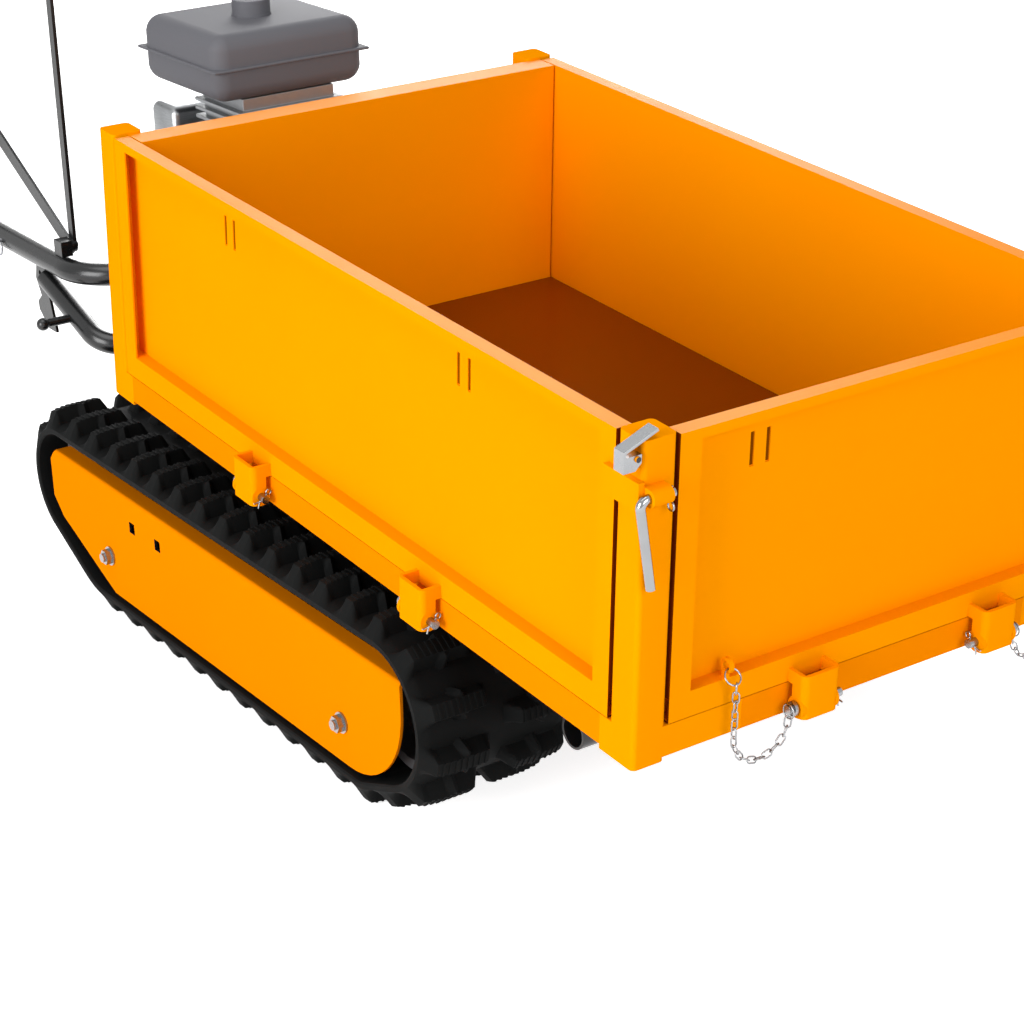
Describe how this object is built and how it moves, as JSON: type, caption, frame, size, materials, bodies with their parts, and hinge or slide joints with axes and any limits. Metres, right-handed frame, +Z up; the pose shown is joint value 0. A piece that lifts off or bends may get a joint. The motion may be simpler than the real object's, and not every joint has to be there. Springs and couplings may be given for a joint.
{
  "type": "tracked power carrier",
  "caption": "Walk-behind tracked dumper with a tipping drop-side load bed on rubber crawler tracks, engine and handlebars behind.",
  "frame": {"origin": "on the ground under the middle of the machine", "axes": "+X forwards, from the handles to the load bed; +Y to the operator's left; +Z up"},
  "size_m": [2.014, 0.75, 0.9638],
  "materials": {
    "paint": "semi-gloss orange-yellow enamel",
    "zinc": "zinc plated",
    "black_paint": "satin black",
    "rubber": "matt moulded",
    "steel": "machined casting",
    "roller_steel": "satin black",
    "alloy": "die cast",
    "black_plastic": "moulded grain"
  },
  "bodies": {
    "chassis": {"chassis_beams": "black_paint", "chassis_tubes": "black_paint", "engine_plate": "black_paint", "right_track_frame": "black_paint", "left_track_frame": "black_paint", "side_plates": "paint", "frame_fasteners": "zinc", "right_track": "rubber", "left_track": "rubber", "gearbox": "alloy", "drive_belt": "rubber", "belt_guard": "black_paint", "engine_block": "alloy", "fuel_tank": "black_plastic", "recoil_cover": "black_plastic", "muffler": "steel", "air_filter": "black_plastic", "handle_frame": "black_paint", "rear_braces": "black_paint", "handle_tubes": "black_paint", "hand_grips": "rubber", "control_fittings": "black_paint"},
    "bed": {"floor_sheet": "paint", "bed_rails": "paint", "cross_members": "paint", "corner_posts": "paint", "rear_wall": "paint", "pivot_brackets": "paint", "post_fittings": "paint", "right_hinge_pins": "zinc", "left_hinge_pins": "zinc", "front_hinge_pins": "zinc", "chain_loops": "zinc"},
    "right_side": {"right_board": "paint"},
    "left_side": {"left_board": "paint"},
    "front_side": {"front_board": "paint", "chain_tops": "zinc"},
    "right_thumb_catch": {"right_catch": "zinc"},
    "left_thumb_catch": {"left_catch": "zinc"},
    "right_rod": {"right_lock_rod": "zinc"},
    "left_rod": {"left_lock_rod": "zinc"},
    "right_drive_wheel": {"right_sprocket": "steel"},
    "left_drive_wheel": {"left_sprocket": "steel"},
    "right_front_wheel": {"right_idler": "roller_steel"},
    "left_front_wheel": {"left_idler": "roller_steel"},
    "input_pulley": {"gearbox_pulley": "steel"},
    "engine_pulley": {"crank_pulley": "steel"},
    "tank_cap": {"fuel_cap": "black_plastic"},
    "starter": {"starter_grip": "black_plastic"},
    "right_clutch": {"right_steer_lever": "black_paint"},
    "left_clutch": {"left_steer_lever": "black_paint"},
    "drive_clutch": {"drive_lever": "black_paint"},
    "shifter": {"gear_lever": "black_paint"},
    "throttle": {"throttle_lever": "black_plastic"},
    "right_front_wheel_low": {"right_front_roller": "roller_steel"},
    "right_middle_wheel_low": {"right_middle_roller": "roller_steel"},
    "right_rear_wheel_low": {"right_rear_roller": "roller_steel"},
    "left_front_wheel_low": {"left_front_roller": "roller_steel"},
    "left_middle_wheel_low": {"left_middle_roller": "roller_steel"},
    "left_rear_wheel_low": {"left_rear_roller": "roller_steel"}
  },
  "joints": [
    {"name": "bed_tip", "type": "hinge", "parent": "chassis", "child": "bed", "pos_m": [0.768, 0, 0.18], "axis": [0, 1, 0], "range_deg": [0, 45]},
    {"name": "right_board_drop", "type": "hinge", "parent": "bed", "child": "right_side", "pos_m": [0.41036, -0.345, 0.29708], "axis": [0.9978, 0, -0.0663], "range_deg": [0, 90]},
    {"name": "left_board_drop", "type": "hinge", "parent": "bed", "child": "left_side", "pos_m": [0.41036, 0.345, 0.29708], "axis": [-0.9978, 0, 0.0663], "range_deg": [0, 90]},
    {"name": "front_board_drop", "type": "hinge", "parent": "bed", "child": "front_side", "pos_m": [0.9831, 0, 0.25904], "axis": [0, 1, 0], "range_deg": [0, 95]},
    {"name": "right_catch_turn", "type": "hinge", "parent": "bed", "child": "right_thumb_catch", "pos_m": [0.98462, -0.339, 0.58365], "axis": [0.9978, 0, -0.0663], "range_deg": [0, 30]},
    {"name": "left_catch_turn", "type": "hinge", "parent": "bed", "child": "left_thumb_catch", "pos_m": [0.98462, 0.339, 0.58365], "axis": [-0.9978, 0, 0.0663], "range_deg": [0, 30]},
    {"name": "right_rod_swing", "type": "hinge", "parent": "bed", "child": "right_rod", "pos_m": [0.998, -0.319, 0.54367], "axis": [0, -1, 0], "range_deg": [0, 170]},
    {"name": "left_rod_swing", "type": "hinge", "parent": "bed", "child": "left_rod", "pos_m": [0.998, 0.319, 0.54367], "axis": [0, -1, 0], "range_deg": [0, 170]},
    {"name": "right_drive_spin", "type": "hinge", "parent": "chassis", "child": "right_drive_wheel", "pos_m": [-0.272, -0.267, 0.154], "axis": [0, 1, 0], "continuous": true},
    {"name": "right_front_spin", "type": "hinge", "parent": "chassis", "child": "right_front_wheel", "pos_m": [0.536, -0.267, 0.14], "axis": [0, 1, 0], "continuous": true},
    {"name": "right_front_roller_spin", "type": "hinge", "parent": "chassis", "child": "right_front_wheel_low", "pos_m": [0.393, -0.267, 0.071], "axis": [0, 1, 0], "continuous": true},
    {"name": "right_middle_roller_spin", "type": "hinge", "parent": "chassis", "child": "right_middle_wheel_low", "pos_m": [0.16, -0.267, 0.071], "axis": [0, 1, 0], "continuous": true},
    {"name": "right_rear_roller_spin", "type": "hinge", "parent": "chassis", "child": "right_rear_wheel_low", "pos_m": [-0.073, -0.267, 0.071], "axis": [0, 1, 0], "continuous": true},
    {"name": "left_drive_spin", "type": "hinge", "parent": "chassis", "child": "left_drive_wheel", "pos_m": [-0.272, 0.267, 0.154], "axis": [0, 1, 0], "continuous": true},
    {"name": "left_front_spin", "type": "hinge", "parent": "chassis", "child": "left_front_wheel", "pos_m": [0.536, 0.267, 0.14], "axis": [0, 1, 0], "continuous": true},
    {"name": "left_front_roller_spin", "type": "hinge", "parent": "chassis", "child": "left_front_wheel_low", "pos_m": [0.393, 0.267, 0.071], "axis": [0, 1, 0], "continuous": true},
    {"name": "left_middle_roller_spin", "type": "hinge", "parent": "chassis", "child": "left_middle_wheel_low", "pos_m": [0.16, 0.267, 0.071], "axis": [0, 1, 0], "continuous": true},
    {"name": "left_rear_roller_spin", "type": "hinge", "parent": "chassis", "child": "left_rear_wheel_low", "pos_m": [-0.073, 0.267, 0.071], "axis": [0, 1, 0], "continuous": true},
    {"name": "input_pulley_spin", "type": "hinge", "parent": "chassis", "child": "input_pulley", "pos_m": [-0.272, 0.139, 0.232], "axis": [0, 1, 0], "continuous": true},
    {"name": "engine_pulley_spin", "type": "hinge", "parent": "chassis", "child": "engine_pulley", "pos_m": [-0.322, 0.139, 0.5], "axis": [0, 1, 0], "continuous": true},
    {"name": "cap_turn", "type": "hinge", "parent": "chassis", "child": "tank_cap", "pos_m": [-0.322, 0, 0.745], "axis": [0, 0, 1], "range_deg": [0, 90]},
    {"name": "starter_pull", "type": "slide", "parent": "chassis", "child": "starter", "axis": [-1, 0, 0], "range_m": [0, 0.1], "stiffness_N_per_m": 40, "springref_m": -0.05},
    {"name": "right_clutch_squeeze", "type": "hinge", "parent": "chassis", "child": "right_clutch", "pos_m": [-0.872, -0.239, 0.882], "axis": [0, 1, 0], "range_deg": [0, 8], "stiffness_Nm_per_rad": 1, "springref_deg": -11.46},
    {"name": "left_clutch_squeeze", "type": "hinge", "parent": "chassis", "child": "left_clutch", "pos_m": [-0.872, 0.239, 0.882], "axis": [0, 1, 0], "range_deg": [0, 8], "stiffness_Nm_per_rad": 1, "springref_deg": -11.46},
    {"name": "drive_clutch_squeeze", "type": "hinge", "parent": "chassis", "child": "drive_clutch", "pos_m": [-0.872, 0.239, 0.938], "axis": [0, -1, 0], "range_deg": [0, 8], "stiffness_Nm_per_rad": 1, "springref_deg": -11.46},
    {"name": "gear_shift", "type": "hinge", "parent": "chassis", "child": "shifter", "pos_m": [-0.472, -0.226, 0.418], "axis": [0, 1, 0], "range_deg": [-12, 12]},
    {"name": "throttle_turn", "type": "hinge", "parent": "chassis", "child": "throttle", "pos_m": [-0.80446, -0.117, 0.812], "axis": [0, 1, 0], "range_deg": [-25, 25]}
  ],
  "couplings": [
    {"joint": "right_front_spin", "follows": "right_drive_spin", "ratio": 0.83132},
    {"joint": "right_front_roller_spin", "follows": "right_drive_spin", "ratio": 1.9167},
    {"joint": "right_middle_roller_spin", "follows": "right_drive_spin", "ratio": 1.9167},
    {"joint": "right_rear_roller_spin", "follows": "right_drive_spin", "ratio": 1.9167},
    {"joint": "left_front_spin", "follows": "left_drive_spin", "ratio": 0.83132},
    {"joint": "left_front_roller_spin", "follows": "left_drive_spin", "ratio": 1.9167},
    {"joint": "left_middle_roller_spin", "follows": "left_drive_spin", "ratio": 1.9167},
    {"joint": "left_rear_roller_spin", "follows": "left_drive_spin", "ratio": 1.9167},
    {"joint": "engine_pulley_spin", "follows": "input_pulley_spin", "ratio": 1.6923}
  ]
}
